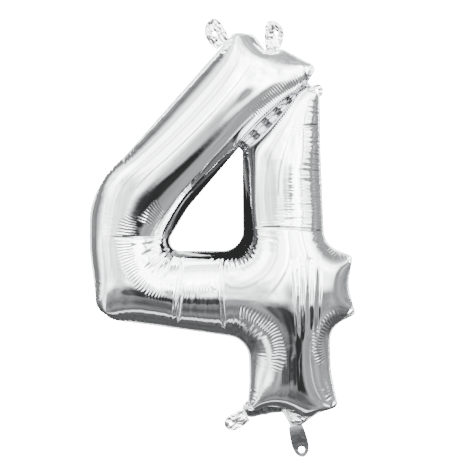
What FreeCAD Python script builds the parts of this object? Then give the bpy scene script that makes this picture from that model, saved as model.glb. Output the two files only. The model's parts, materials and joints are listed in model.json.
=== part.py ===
"""Foil number balloon, figure four: two die-cut films welded round their rims and round a window,
a self-sealing valve inside the neck, four hang tabs and a filling tail.

The frame: the origin is the centre of the left hang tab's hole, +X to the right of the figure,
+Z up, and -Y towards the figure's front. The weld seam lies in the plane Y = 0. Millimetres.
"""
import FreeCAD, Part
import math
import os
import Sketcher

SIZES = [
    ("film", 0.4, "thickness that stands for one ply of foil"),
    ("valve_film", 0.15, "thickness of one ply of the valve"),
    ("seam", 2.5, "width of the weld outside the inflated tube"),
    ("hinge_slack", 0.1, "room beyond two plies in the crease of a tab"),
    ("limb", 69.0, "width of the diagonal's tube"),
    ("limb_roundness", 0.97, "depth of the diagonal's tube over its width"),
    ("lean", 48.93, "degrees of the diagonal above level"),
    ("diagonal_run", 176.5, "straight length of the diagonal, bend to head seam"),
    ("head_slant", 13.0, "degrees the head seam turns from square"),
    ("head_taper", 34.0, "length over which the head flattens to its seam"),
    ("head_spread", 8.0, "how far the inner edge fans out at the head"),
    ("head_nip", 2.0, "how far the outer edge closes in at the head"),
    ("window_corner", 13.0, "bend radius of the tube's edge at the window's corner"),
    ("corner_reach", 12.0, "how far the lower left corner stands out of the bend"),
    ("window_run", 58.6, "bend centre to the stem's left edge"),
    ("crossbar", 66.0, "width of the crossbar's tube"),
    ("crossbar_roundness", 0.93, "depth of the crossbar's tube over its width"),
    ("stem", 72.0, "width of the stem's tube"),
    ("stem_roundness", 0.99, "depth of the stem's tube over its width"),
    ("stem_rise", 172.0, "crossbar axis to the top of the stem"),
    ("crown_inset", 6.0, "how far the stem's right edge closes in at the top"),
    ("leg_drop", 121.0, "crossbar axis to the neck"),
    ("leg", 68.0, "width of the leg below the crossbar"),
    ("foot", 76.0, "width of the foot where it flares"),
    ("foot_taper", 33.0, "length over which the foot flattens"),
    ("foot_shift", 6.0, "how far the foot stands right of the stem axis"),
    ("neck", 16.0, "width of the neck where the tail starts"),
    ("neck_shift", 10.6, "how far the neck stands right of the stem axis"),
    ("stub_reach", 58.6, "stem axis to the stub's end seam"),
    ("stub_root", 64.0, "width of the stub where it leaves the stem"),
    ("stub_roundness", 0.88, "depth of the stub over its width"),
    ("stub_end", 50.0, "width of the stub's end seam"),
    ("stub_taper", 22.0, "length over which the stub flattens"),
    ("tab_inset", 9.0, "depth of the plate that carries each tab"),
    ("left_tab_width", 16.0, "width of the left hang tab"),
    ("left_tab_length", 20.0, "crease to tip of the left hang tab"),
    ("left_tab_heading", 130.0, "degrees of the left hang tab"),
    ("left_tab_setback", 18.4, "head seam to the left tab, along the diagonal"),
    ("right_tab_width", 16.0, "width of the right hang tab"),
    ("right_tab_length", 26.0, "crease to tip of the right hang tab"),
    ("right_tab_heading", 75.0, "degrees of the right hang tab"),
    ("right_tab_shift", 3.9, "how far the right tab stands left of the head seam's middle"),
    ("right_tab_lift", 3.3, "how far the right tab's crease lies beyond the head's rim"),
    ("side_tab_inset", 5.0, "crease of the notch tab, left of the stem's top right edge"),
    ("side_tab_width", 10.0, "width of the notch tab"),
    ("side_tab_length", 10.0, "crease to tip of the notch tab"),
    ("side_tab_heading", 0.0, "degrees of the notch tab"),
    ("foot_tab_rise", 5.0, "crease of the lower left tab above the neck"),
    ("foot_tab_width", 12.0, "width of the lower left tab"),
    ("foot_tab_length", 22.0, "crease to tip of the lower left tab"),
    ("foot_tab_heading", 209.0, "degrees of the lower left tab"),
    ("tail_drop", 2.5, "how far the tail's crease lies below the neck's rim"),
    ("tail_width", 14.0, "width of the filling tail"),
    ("tail_length", 29.5, "crease to tip of the filling tail"),
    ("tail_heading", -75.4, "degrees of the filling tail"),
    ("hang_hole", 2.0, "radius of the holes in the hang tabs"),
    ("small_hole", 1.5, "radius of the holes in the notch and lower left tabs"),
    ("tie_hole", 3.0, "radius of the filling hole in the tail"),
    ("valve_width", 10.0, "width of the valve"),
    ("valve_length", 80.0, "length of the valve above the crease of the tail"),
    ("half_space", 600.0, "box that holds one half of the balloon"),
]

ELBOW_STEPS = 9
LEVEL_STATIONS = 2
ELBOW_PEAK = 315.0
CORNER_FLATNESS = 0.12
TAPER_STEPS = 5
SEAM_ROUNDNESS = 0.035
NECK_ROUNDNESS = 0.15
LIMB_OVERLAP = 0.97
TOLERANCE = 0.01

doc = FreeCAD.newDocument("foil_number_balloon")
sizes = doc.addObject("Spreadsheet::Sheet", "sizes")
for row, (alias, value, note) in enumerate(SIZES, start=1):
    sizes.set(f"A{row}", note)
    sizes.set(f"B{row}", str(value))
    sizes.setAlias(f"B{row}", alias)

# Places that follow from the sizes. A heading is an angle above level, and each limb is described
# by the points of its axis and the distances from that axis to its left and right edges.
PLACES = [
    ("crease", "=2 * sizes.film + sizes.hinge_slack"),
    ("run_x", "=cos(sizes.lean * 1 deg)"),
    ("run_z", "=sin(sizes.lean * 1 deg)"),
    ("left_reach", "=sizes.left_tab_length - sizes.left_tab_width / 2"),
    ("left_x", "=-left_reach * cos(sizes.left_tab_heading * 1 deg)"),
    ("left_z", "=-left_reach * sin(sizes.left_tab_heading * 1 deg)"),
    ("bend", "=sizes.window_corner + sizes.limb / 2"),
    ("edge", "=sizes.limb / 2 + sizes.seam + 2 * crease"),
    ("above_bend", "=sizes.diagonal_run - sizes.left_tab_setback"),
    ("elbow_x", "=left_x - above_bend * run_x + (edge + bend) * run_z"),
    ("elbow_z", "=left_z - above_bend * run_z - (edge + bend) * run_x"),
    ("start_x", "=elbow_x - bend * run_z"),
    ("start_z", "=elbow_z + bend * run_x"),
    ("bar_z", "=elbow_z - sizes.window_corner - sizes.limb / 2"),
    ("stem_x", "=elbow_x + sizes.window_run + sizes.stem / 2"),
    ("apex_x", "=stem_x - sizes.stem / 2"),
    ("apex_z", "=elbow_z + sizes.window_corner / run_x + sizes.window_run * run_z / run_x"),
    ("apex_run", "=(apex_x - start_x) * run_x + (apex_z - start_z) * run_z"),
    ("fan", "=sizes.head_spread / (sizes.diagonal_run - apex_run)"),
    ("web_lean", "=sizes.lean * 1 deg - atan(fan)"),
    ("tail_x", "=stem_x + sizes.neck_shift"),
    ("tail_z", "=bar_z - sizes.leg_drop - sizes.seam - sizes.tail_drop"),
    ("foot_x", "=stem_x + sizes.foot_shift - sizes.foot / 2 - sizes.seam"),
    ("foot_z", "=bar_z - sizes.leg_drop + sizes.foot_tab_rise"),
    ("side_x", "=stem_x + sizes.stem / 2 - sizes.crown_inset - sizes.side_tab_inset"),
    ("side_z", "=bar_z + sizes.stem_rise + sizes.seam + sizes.side_tab_width / 2 + crease"),
    ("head_x", "=start_x + (sizes.diagonal_run + sizes.seam) * run_x + sizes.head_spread / 2 * run_z"),
    ("head_z", "=start_z + (sizes.diagonal_run + sizes.seam) * run_z - sizes.head_spread / 2 * run_x"),
    ("seam_x", "=cos((sizes.lean + sizes.head_slant) * 1 deg)"),
    ("seam_z", "=sin((sizes.lean + sizes.head_slant) * 1 deg)"),
    ("right_x", "=head_x + sizes.right_tab_lift * seam_x - sizes.right_tab_shift * seam_z"),
    ("right_z", "=head_z + sizes.right_tab_lift * seam_z + sizes.right_tab_shift * seam_x"),
]
places = doc.addObject("Spreadsheet::Sheet", "places")
for row, (alias, formula) in enumerate(PLACES, start=1):
    places.set(f"A{row}", formula)
    places.setAlias(f"A{row}", alias)
doc.recompute()


class Station:
    """One cross-section of a limb. Every argument is an expression of the two sheets."""

    def __init__(self, x, z, heading, left, right, roundness, cap=0):
        self.x = x
        self.z = z
        self.heading = heading
        self.left = left
        self.right = right
        self.roundness = roundness
        self.cap = cap

    def across(self, share):
        """The point of the section this far to the right of the axis, as x and z expressions."""
        turn = f"({self.heading}) * 1 deg"
        return f"{self.x} + ({share}) * sin({turn})", f"{self.z} - ({share}) * cos({turn})"

    def along(self, step):
        """The same section moved by step along its heading, as a new station."""
        turn = f"({self.heading}) * 1 deg"
        x = f"{self.x} + ({step}) * cos({turn})"
        z = f"{self.z} + ({step}) * sin({turn})"
        return Station(x, z, self.heading, self.left, self.right, self.roundness)


def upright(x, z, heading):
    """The placement whose own Z points along a heading and whose own X points to its right."""
    turn = f"rotation(vector(0; 1; 0); 90 - ({heading}))"
    return f"placement(vector({x}; 0; {z}); {turn})"


def ellipse(name, station, wall):
    """The section of a tube at a station, a wall's thickness inside its outer surface."""
    ring = doc.addObject("Part::Ellipse", name)
    inner = station.along(f"{station.cap} * {wall}")
    x, z = inner.across(f"(({station.right}) - ({station.left})) / 2")
    width = f"(({station.left}) + ({station.right}))"
    ring.setExpression("Placement", upright(x, z, station.heading))
    ring.setExpression("MajorRadius", f"{width} / 2 - {wall}")
    ring.setExpression("MinorRadius", f"{width} * ({station.roundness}) / 2 - {wall}")
    return ring


def tube(name, stations, wall):
    """A solid lofted through the stations' sections."""
    loft = doc.addObject("Part::Loft", name)
    loft.Sections = [ellipse(f"{name}_section", station, wall) for station in stations]
    loft.Solid = True
    loft.Ruled = True
    return loft


def upright_plane(body):
    """The body's own plane through X and Z."""
    return next(item for item in body.Origin.OriginFeatures if item.Role == "XZ_Plane")


def outline(name, points):
    """A closed sketch through points given as x and z expressions, in the plane Y = 0."""
    sketch = doc.addObject("Sketcher::SketchObject", name)
    sketch.Placement = FreeCAD.Placement(FreeCAD.Vector(), FreeCAD.Rotation(FreeCAD.Vector(1, 0, 0), 90))
    values = [(evaluated(sketch, x), evaluated(sketch, z)) for x, z in points]
    for start, end in zip(values, values[1:] + values[:1]):
        first = FreeCAD.Vector(*start, 0)
        last = FreeCAD.Vector(*end, 0)
        sketch.addGeometry(Part.LineSegment(first, last), False)
    for index in range(len(points)):
        following = (index + 1) % len(points)
        sketch.addConstraint(Sketcher.Constraint("Coincident", index, 2, following, 1))
    for index, (x, z) in enumerate(points):
        for kind, expression, value in zip(("DistanceX", "DistanceY"), (x, z), values[index]):
            place = sketch.addConstraint(Sketcher.Constraint(kind, -1, 1, index, 1, value))
            sketch.setExpression(f"Constraints[{place}]", expression)
    return sketch


def evaluated(holder, expression):
    """The present value of an expression, as a plain number."""
    result = holder.evalExpression(expression)
    return float(getattr(result, "Value", result))


def plate(name, sketch):
    """The two welded plies inside an outline."""
    welded = doc.addObject("Part::Extrusion", name)
    welded.Base = sketch
    welded.DirMode = "Custom"
    welded.Dir = FreeCAD.Vector(0, 1, 0)
    welded.Solid = True
    welded.setExpression("LengthFwd", "sizes.film")
    welded.setExpression("LengthRev", "sizes.film")
    return welded


def rim(name, stations):
    """The weld that runs round a limb, as a plate that reaches one seam past the tube."""
    ends = [station.along(f"-({station.cap}) * sizes.seam") for station in stations]
    rights = [end.across(f"({end.right}) + sizes.seam") for end in ends]
    lefts = [end.across(f"-({end.left}) - sizes.seam") for end in ends]
    return plate(name, outline(f"{name}_outline", rights + lefts[::-1]))


def flattening(taper, fullest, thinnest):
    """Distances back from a flat end seam, and the roundness there, as a tube swells to full depth."""
    rows = []
    for step in range(TAPER_STEPS + 1):
        angle = 90 * step / TAPER_STEPS
        distance = f"({taper}) * (1 - cos({angle} * 1 deg))"
        roundness = f"max({thinnest}; ({fullest}) * sin({angle} * 1 deg))"
        rows.append((distance, roundness))
    return rows


def diagonal_and_crossbar():
    """The limb that runs down the diagonal, round the elbow and along the crossbar."""
    half = "sizes.limb / 2"
    down = "180 + sizes.lean"
    full = "sizes.limb_roundness"
    # Each row: distance from the head seam, share of its slant, share of its nip, roundness.
    head_rows = [
        (drop, 1.0, 1 - step / TAPER_STEPS, roundness)
        for step, (drop, roundness) in enumerate(flattening("sizes.head_taper", full, SEAM_ROUNDNESS))
    ]
    head_rows += [
        ("1.35 * sizes.head_taper", 0.66, 0.0, full),
        ("1.7 * sizes.head_taper", 0.33, 0.0, full),
        ("2.05 * sizes.head_taper", 0.0, 0.0, full),
        ("0.7 * sizes.diagonal_run", 0.0, 0.0, full),
    ]
    stations = []
    for number, (drop, slant, nip, roundness) in enumerate(head_rows):
        run = f"(sizes.diagonal_run - {drop})"
        spread = f"max(0; {run} - places.apex_run) * places.fan"
        stations.append(Station(
            f"places.start_x + {run} * places.run_x",
            f"places.start_z + {run} * places.run_z",
            f"{down} + {slant} * sizes.head_slant",
            f"{half} + {spread}",
            f"{half} - {nip} * sizes.head_nip",
            roundness,
            1 if number == 0 else 0,
        ))
    for step in range(ELBOW_STEPS + 1):
        share = step / ELBOW_STEPS
        heading = f"({down} + {share} * (180 - sizes.lean))"
        bump = f"max(0; cos(2 * ({heading} - {ELBOW_PEAK}) * 1 deg))"
        stations.append(Station(
            f"places.elbow_x + places.bend * sin({heading} * 1 deg)",
            f"places.elbow_z - places.bend * cos({heading} * 1 deg)",
            heading,
            half,
            f"{half} + {share} * (sizes.crossbar - sizes.limb) + sizes.corner_reach * {bump}",
            f"sizes.limb_roundness + {share} * (sizes.crossbar_roundness - sizes.limb_roundness)"
            f" - {CORNER_FLATNESS} * {bump}",
        ))
    for share in (0.5, LIMB_OVERLAP):
        stations.append(Station(
            f"places.elbow_x + {share} * (places.stem_x - places.elbow_x)",
            "places.bar_z",
            "360",
            half,
            f"sizes.crossbar - {half}",
            "sizes.crossbar_roundness",
        ))
    return stations


def stem():
    """The upright limb from the notch down to the neck."""
    stations = []
    # Each row: share of the rise above the crossbar axis, share of the crown's inset, roundness.
    upper_rows = [
        (1.0, 1.0, "0.45"),
        (0.92, 0.85, "0.65"),
        (0.84, 0.7, "0.8"),
        (0.75, 0.55, "0.9"),
        (0.66, 0.4, "0.95"),
        (0.45, 0.2, "sizes.stem_roundness"),
        (0.2, 0.0, "sizes.stem_roundness"),
        (0.0, 0.0, "sizes.stem_roundness"),
        (-0.2, 0.0, "sizes.stem_roundness"),
    ]
    for number, (height, inset, roundness) in enumerate(upper_rows):
        level = f"(places.bar_z + {height} * sizes.stem_rise)"
        web = (f"(places.apex_x + ({level} - places.apex_z) / tan(places.web_lean)"
               f" + 2 * sizes.seam / sin(places.web_lean))")
        stations.append(Station(
            "places.stem_x",
            level,
            "270",
            f"sizes.stem / 2 - {inset} * sizes.crown_inset",
            f"min(sizes.stem / 2; places.stem_x - {web})",
            roundness,
            1 if number == 0 else 0,
        ))
    full = "sizes.stem_roundness"
    # Each row: distance above the neck, width, shift to the right, roundness.
    lower_rows = [("1.7 * sizes.foot_taper", "sizes.leg", "0.7 * sizes.foot_shift", full)]
    foot_rows = list(enumerate(flattening("sizes.foot_taper", full, NECK_ROUNDNESS)))[::-1]
    for step, (distance, roundness) in foot_rows:
        # The foot keeps its width until its last third, then closes in on the neck.
        share = min(1, 0.7 * step)
        width = f"(sizes.neck + {share} * (sizes.foot - sizes.neck))"
        shift = f"(sizes.neck_shift + {share} * (sizes.foot_shift - sizes.neck_shift))"
        lower_rows.append((distance, width, shift, roundness))
    for number, (height, width, shift, roundness) in enumerate(lower_rows):
        stations.append(Station(
            f"places.stem_x + {shift}",
            f"(places.bar_z - sizes.leg_drop + {height})",
            "270",
            f"{width} / 2",
            f"{width} / 2",
            roundness,
            -1 if number == len(lower_rows) - 1 else 0,
        ))
    return stations


def stub():
    """The short limb right of the stem."""
    full = "sizes.stub_roundness"
    # Each row: distance back from the end seam, share of the root's width, roundness.
    rows = [(f"{LIMB_OVERLAP} * sizes.stub_reach", 1.0, full)]
    taper_rows = list(enumerate(flattening("sizes.stub_taper", full, SEAM_ROUNDNESS)))[::-1]
    for step, (distance, roundness) in taper_rows:
        rows.append((distance, 0.8 * step / TAPER_STEPS, roundness))
    stations = []
    for number, (back, share, roundness) in enumerate(rows):
        width = f"(sizes.stub_end + {share} * (sizes.stub_root - sizes.stub_end))"
        stations.append(Station(
            f"places.stem_x + sizes.stub_reach - {back}",
            "places.bar_z",
            "0",
            f"{width} / 2",
            f"{width} / 2",
            roundness,
            -1 if number == len(rows) - 1 else 0,
        ))
    return stations


class Flap:
    """A two-ply flap hinged at a crease. Its own Z points outwards from the middle of the crease."""

    def __init__(self, name, crease_x, crease_z, kind, hole):
        self.name = name
        self.crease_x = crease_x
        self.crease_z = crease_z
        self.heading = f"sizes.{kind}_heading"
        self.width = f"sizes.{kind}_width"
        self.length = f"sizes.{kind}_length"
        self.hole = hole

    def placement(self, x="0", y="0", z="0"):
        """The placement of a piece whose origin lies at x, y, z in the flap's own frame."""
        turn = f"({self.heading}) * 1 deg"
        base_x = f"{self.crease_x} + ({x}) * sin({turn}) + ({z}) * cos({turn})"
        base_z = f"{self.crease_z} - ({x}) * cos({turn}) + ({z}) * sin({turn})"
        rotation = f"rotation(vector(0; 1; 0); 90 - ({self.heading}))"
        return f"placement(vector({base_x}; {y}; {base_z}); {rotation})"

    def slab(self, name, width, depth, start, film):
        """A flat box that runs inwards from a distance inside the crease."""
        box = doc.addObject("Part::Box", name)
        box.setExpression("Length", width)
        box.setExpression("Width", f"2 * {film}")
        box.setExpression("Height", depth)
        corner = self.placement(f"-({width}) / 2", f"-{film}", f"-({start}) - ({depth})")
        box.setExpression("Placement", corner)
        return box

    def body(self):
        """The flap itself: a tongue with a round tip and a punched hole."""
        body = doc.addObject("PartDesign::Body", self.name)
        body.Label = self.name
        profile = body.newObject("Sketcher::SketchObject", f"{self.name}_profile")
        profile.AttachmentSupport = [(upright_plane(body), "")]
        profile.MapMode = "FlatFace"
        half = evaluated(profile, f"{self.width} / 2")
        root = evaluated(profile, "places.crease / 2")
        tip = evaluated(profile, f"{self.length} - {self.width} / 2")
        root_left = FreeCAD.Vector(-half, root, 0)
        root_right = FreeCAD.Vector(half, root, 0)
        tip_left = FreeCAD.Vector(-half, tip, 0)
        tip_right = FreeCAD.Vector(half, tip, 0)
        profile.addGeometry(Part.LineSegment(root_left, root_right), False)
        profile.addGeometry(Part.LineSegment(root_right, tip_right), False)
        profile.addGeometry(Part.LineSegment(tip_left, root_left), False)
        circle = Part.Circle(FreeCAD.Vector(0, tip, 0), FreeCAD.Vector(0, 0, 1), half)
        profile.addGeometry(Part.ArcOfCircle(circle, 0, math.pi), False)
        for constraint in (
            ("Coincident", 0, 2, 1, 1),
            ("Coincident", 2, 2, 0, 1),
            ("Tangent", 1, 2, 3, 1),
            ("Tangent", 3, 2, 2, 1),
            ("Vertical", 1),
            ("Vertical", 2),
            ("Symmetric", 0, 1, 0, 2, -2),
        ):
            profile.addConstraint(Sketcher.Constraint(*constraint))
        bind(profile, ("DistanceX", 0, 1, 0, 2), self.width)
        bind(profile, ("DistanceY", -1, 1, 0, 1), "places.crease / 2")
        bind(profile, ("DistanceY", -1, 1, 3, 3), f"{self.length} - {self.width} / 2")
        pad = body.newObject("PartDesign::Pad", f"{self.name}_plies")
        pad.Profile = profile
        pad.Midplane = True
        pad.setExpression("Length", "2 * sizes.film")
        doc.recompute()
        punch = body.newObject("Sketcher::SketchObject", f"{self.name}_punch")
        punch.AttachmentSupport = [(upright_plane(body), "")]
        punch.MapMode = "FlatFace"
        radius = evaluated(punch, self.hole)
        punch.addGeometry(Part.Circle(FreeCAD.Vector(0, tip, 0), FreeCAD.Vector(0, 0, 1), radius), False)
        punch.addConstraint(Sketcher.Constraint("PointOnObject", 0, 3, -2))
        bind(punch, ("Radius", 0), self.hole)
        bind(punch, ("DistanceY", -1, 1, 0, 3), f"{self.length} - {self.width} / 2")
        hole = body.newObject("PartDesign::Pocket", f"{self.name}_hole")
        hole.Profile = punch
        hole.Type = "ThroughAll"
        hole.Midplane = True
        doc.recompute()
        expected = math.pi * radius ** 2 * pad.Shape.BoundBox.YLength
        removed = pad.Shape.Volume - hole.Shape.Volume
        if abs(removed - expected) > TOLERANCE * expected:
            raise ValueError(f"{self.name}: the hole removed {removed:.3f} of {expected:.3f}")
        body.setExpression("Placement", self.placement())
        return body


def bind(sketch, constraint, expression):
    """Add a dimension to a sketch and tie it to an expression."""
    place = sketch.addConstraint(Sketcher.Constraint(*constraint, evaluated(sketch, expression)))
    sketch.setExpression(f"Constraints[{place}]", expression)


def joined(name, pieces):
    """The union of several solids."""
    union = doc.addObject("Part::MultiFuse", name)
    union.Shapes = pieces
    return union


def combined(kind, name, base, tool):
    """A two-piece boolean, such as Part::Cut."""
    result = doc.addObject(kind, name)
    result.Base = base
    result.Tool = tool
    return result


def half_box(name, side):
    """The space in front of the seam plane for -1, or behind it for 1."""
    box = doc.addObject("Part::Box", name)
    for length in ("Length", "Width", "Height"):
        box.setExpression(length, "2 * sizes.half_space")
    depth = "-2 * sizes.half_space" if side < 0 else "0"
    corner = f"vector(-sizes.half_space; {depth}; -sizes.half_space)"
    box.setExpression("Placement", f"placement({corner}; rotation(0; 0; 0))")
    return box


FLAPS = [
    Flap("left_hang_tab", "places.left_x", "places.left_z", "left_tab", "sizes.hang_hole"),
    Flap("right_hang_tab", "places.right_x", "places.right_z", "right_tab", "sizes.hang_hole"),
    Flap("notch_tab", "places.side_x", "places.side_z", "side_tab", "sizes.small_hole"),
    Flap("lower_left_tab", "places.foot_x", "places.foot_z", "foot_tab", "sizes.small_hole"),
    Flap("filling_tail", "places.tail_x", "places.tail_z", "tail", "sizes.tie_hole"),
]
TAIL = FLAPS[-1]

flaps = [flap.body() for flap in FLAPS]
foil = []
air = []
bent_limb = diagonal_and_crossbar()
limbs = (
    ("diagonal", bent_limb[:-ELBOW_STEPS - LEVEL_STATIONS]),
    ("elbow", bent_limb[-ELBOW_STEPS - LEVEL_STATIONS - 1:]),
    ("stem", stem()),
    ("stub", stub()),
)
for name, stations in limbs:
    foil.append(tube(f"{name}_outer", stations, "0 * sizes.film"))
    foil.append(rim(f"{name}_rim", stations))
    air.append(tube(f"{name}_inner", stations, "sizes.film"))
for flap in FLAPS:
    name = f"{flap.name}_carrier"
    width = f"({flap.width} + 2 * places.crease + sizes.seam)"
    foil.append(flap.slab(name, width, "sizes.tab_inset", "places.crease / 2", "sizes.film"))
envelope = combined("Part::Cut", "envelope", joined("foil", foil), joined("air", air))
valve_slot = TAIL.slab(
    "valve_slot", "sizes.valve_width", "sizes.valve_length", "places.crease / 2", "sizes.valve_film"
)
welded = combined("Part::Cut", "welded_envelope", envelope, valve_slot)
pieces = []
for side, panel, valve in (
    (-1, "front_foil_panel", "valve_front_film"),
    (1, "back_foil_panel", "valve_back_film"),
):
    half = half_box(f"{panel}_space", side)
    pieces.append(combined("Part::Common", panel, welded, half))
    pieces.append(combined("Part::Common", valve, valve_slot, half))
pieces += flaps
doc.recompute()

for item in doc.Objects:
    if "Invalid" in item.State or "Error" in item.State:
        raise RuntimeError(f"{item.Name} failed: {item.State}")
for piece in pieces:
    if piece.Shape.isNull() or not piece.Shape.isValid():
        raise RuntimeError(f"{piece.Name} has no valid shape")
os.makedirs("parts", exist_ok=True)
for piece in pieces:
    piece.Shape.exportStep(f"parts/{piece.Label}.step")
    print(piece.Label, len(piece.Shape.Solids), round(piece.Shape.Volume, 1))
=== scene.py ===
"""Foil number balloon, figure four, in mirror silver film.

Two flat-cut films are welded along one seam and blown up: the seam is drawn from its flat cut to
its inflated line while pressure lifts the film, which stretches hardly at all and therefore
wrinkles. The weld's rim, the web between the diagonal and the stem, the four tabs and the
filling tail are crinkled film of their own. Metres outside, millimetres inside the classes.
"""
import json
import logging
import math
from dataclasses import dataclass, field
from enum import Enum

import bmesh
import bpy
import numpy as np
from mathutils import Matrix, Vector, noise
from mathutils.geometry import delaunay_2d_cdt

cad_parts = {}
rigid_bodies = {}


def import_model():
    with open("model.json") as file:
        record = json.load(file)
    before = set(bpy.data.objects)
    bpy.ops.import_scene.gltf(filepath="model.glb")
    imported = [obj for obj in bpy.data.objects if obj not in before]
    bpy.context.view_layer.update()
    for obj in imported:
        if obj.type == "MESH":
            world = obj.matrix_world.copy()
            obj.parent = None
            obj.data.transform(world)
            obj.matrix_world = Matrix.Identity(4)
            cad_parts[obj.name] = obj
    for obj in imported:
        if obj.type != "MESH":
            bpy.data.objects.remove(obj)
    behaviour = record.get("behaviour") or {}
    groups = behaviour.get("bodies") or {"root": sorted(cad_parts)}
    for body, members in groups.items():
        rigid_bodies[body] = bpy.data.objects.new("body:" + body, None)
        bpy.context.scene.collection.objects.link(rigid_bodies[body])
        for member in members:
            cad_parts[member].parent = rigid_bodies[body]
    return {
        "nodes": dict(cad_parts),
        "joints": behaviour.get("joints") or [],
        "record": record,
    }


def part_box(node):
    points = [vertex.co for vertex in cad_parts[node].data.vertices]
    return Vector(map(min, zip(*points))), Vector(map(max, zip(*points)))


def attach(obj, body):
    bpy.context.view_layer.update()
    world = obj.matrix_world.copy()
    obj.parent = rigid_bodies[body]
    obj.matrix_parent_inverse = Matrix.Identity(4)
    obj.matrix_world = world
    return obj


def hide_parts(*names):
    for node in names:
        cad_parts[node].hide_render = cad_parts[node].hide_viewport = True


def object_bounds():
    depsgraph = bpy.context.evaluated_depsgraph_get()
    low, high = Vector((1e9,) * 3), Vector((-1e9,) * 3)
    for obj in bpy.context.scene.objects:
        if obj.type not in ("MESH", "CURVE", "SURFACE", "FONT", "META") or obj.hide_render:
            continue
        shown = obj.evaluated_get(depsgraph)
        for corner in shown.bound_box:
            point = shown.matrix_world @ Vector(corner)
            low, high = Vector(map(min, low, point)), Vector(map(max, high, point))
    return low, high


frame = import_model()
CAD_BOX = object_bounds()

LOG = logging.getLogger("foil_balloon")
MM = 0.001
BALLOON = "balloon"


# ---- Outlines ----
@dataclass(frozen=True)
class Bend:
    """A rounded corner: the point where its two straight runs meet, and its radius."""

    x: float
    z: float
    radius: float

    def point(self) -> np.ndarray:
        """The corner's point."""
        return np.array([self.x, self.z])


@dataclass(frozen=True)
class Corner:
    """A corner of the seam as the film is cut, where it lies when blown up, and the weld there."""

    name: str
    cut: Bend
    blown: Bend
    weld: float
    pinned: bool = False


SEAM_ROWS = (
    ("head_left", (5.0, 22.0, 13.0), (18.5, -1.5, 5.0), 2.4, True),
    ("head_top", (23.0, 9.0, 37.0), (35.5, -1.5, 6.0), 1.2),
    ("head_valley", (39.0, -1.0, 37.0), (47.0, -18.5, 6.0), 1.5),
    ("head_shoulder", (53.0, -8.0, 37.0), (61.0, -14.5, 9.0), 1.2),
    ("head_right", (93.0, -24.0, 5.0), (92.5, -30.5, 5.0), 1.0, True),
    ("web_top_upper", (81.0, -31.5, 1.4), (85.5, -44.0, 1.4), 0.0, True),
    ("apex_upper", (22.5, -104.5, 0.9), (22.5, -104.0, 0.9), 0.0, True),
    ("window_side", (-21.5, -158.0, 60.0), (-25.0, -159.0, 70.0), 0.5),
    ("window_left", (-49.0, -197.5, 11.0), (-49.0, -199.0, 10.0), 0.8, True),
    ("window_right", (26.5, -197.5, 13.0), (27.0, -199.0, 19.0), 0.8, True),
    ("apex_lower", (26.0, -107.5, 0.9), (25.5, -107.5, 0.9), 0.0, True),
    ("web_top_lower", (84.5, -34.5, 1.4), (88.5, -47.5, 1.4), 0.0, True),
    ("stem_top", (101.0, -51.5, 5.0), (95.5, -56.5, 2.7), 0.8, True),
    ("stem_side", (117.5, -106.0, 91.0), (95.8, -106.0, 183.0), 1.2),
    ("above_stub", (125.0, -199.5, 27.0), (99.5, -193.0, 22.0), 1.0),
    ("stub_upper", (148.5, -216.0, 5.0), (125.5, -204.0, 2.7), 1.0, True),
    ("stub_end", (140.5, -245.0, 55.0), (121.0, -229.5, 37.0), 1.0),
    ("stub_lower", (150.5, -275.5, 5.0), (128.0, -255.5, 2.7), 1.0, True),
    ("below_stub", (126.0, -286.5, 31.0), (104.5, -268.0, 22.0), 1.0, True),
    ("leg_right", (121.0, -327.5, 55.0), (105.5, -307.5, 73.0), 1.0),
    ("foot_right", (121.0, -364.0, 9.0), (112.0, -340.0, 4.0), 1.0, True),
    ("foot_scallop", (96.5, -371.5, 18.0), (93.0, -345.5, 18.0), 2.0),
    ("neck_right", (88.5, -386.0, 2.7), (80.0, -355.5, 2.7), 1.5, True),
    ("neck_left", (72.0, -388.5, 1.8), (71.0, -358.0, 1.8), 1.5, True),
    ("foot_step", (67.5, -369.5, 9.0), (65.5, -341.0, 7.0), 5.0),
    ("foot_arch", (47.0, -364.0, 27.0), (46.0, -338.5, 27.0), 9.0),
    ("foot_left", (30.0, -371.5, 7.0), (30.5, -345.0, 2.7), 7.0, True),
    ("leg_foot", (27.5, -352.0, 20.0), (31.5, -334.0, 20.0), 0.8),
    ("leg_left", (26.0, -327.5, 55.0), (33.0, -316.5, 91.0), 1.0),
    ("crossbar_end", (26.0, -294.5, 27.0), (32.0, -278.0, 26.0), 1.0, True),
    ("crossbar_under", (-49.5, -281.0, 110.0), (-59.0, -265.0, 137.0), 1.2),
    ("corner_low", (-101.0, -276.0, 33.0), (-93.6, -260.4, 18.0), 1.2),
    ("corner_side", (-124.0, -261.5, 33.0), (-107.0, -243.5, 20.0), 1.2),
    ("elbow_side", (-128.5, -197.5, 183.0), (-113.0, -197.5, 137.0), 1.2),
    ("elbow_top", (-129.0, -122.0, 62.0), (-113.0, -148.5, 84.0), 1.2),
)
SEAM = tuple(Corner(name, Bend(*cut), Bend(*blown), *weld) for name, cut, blown, *weld in SEAM_ROWS)


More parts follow.
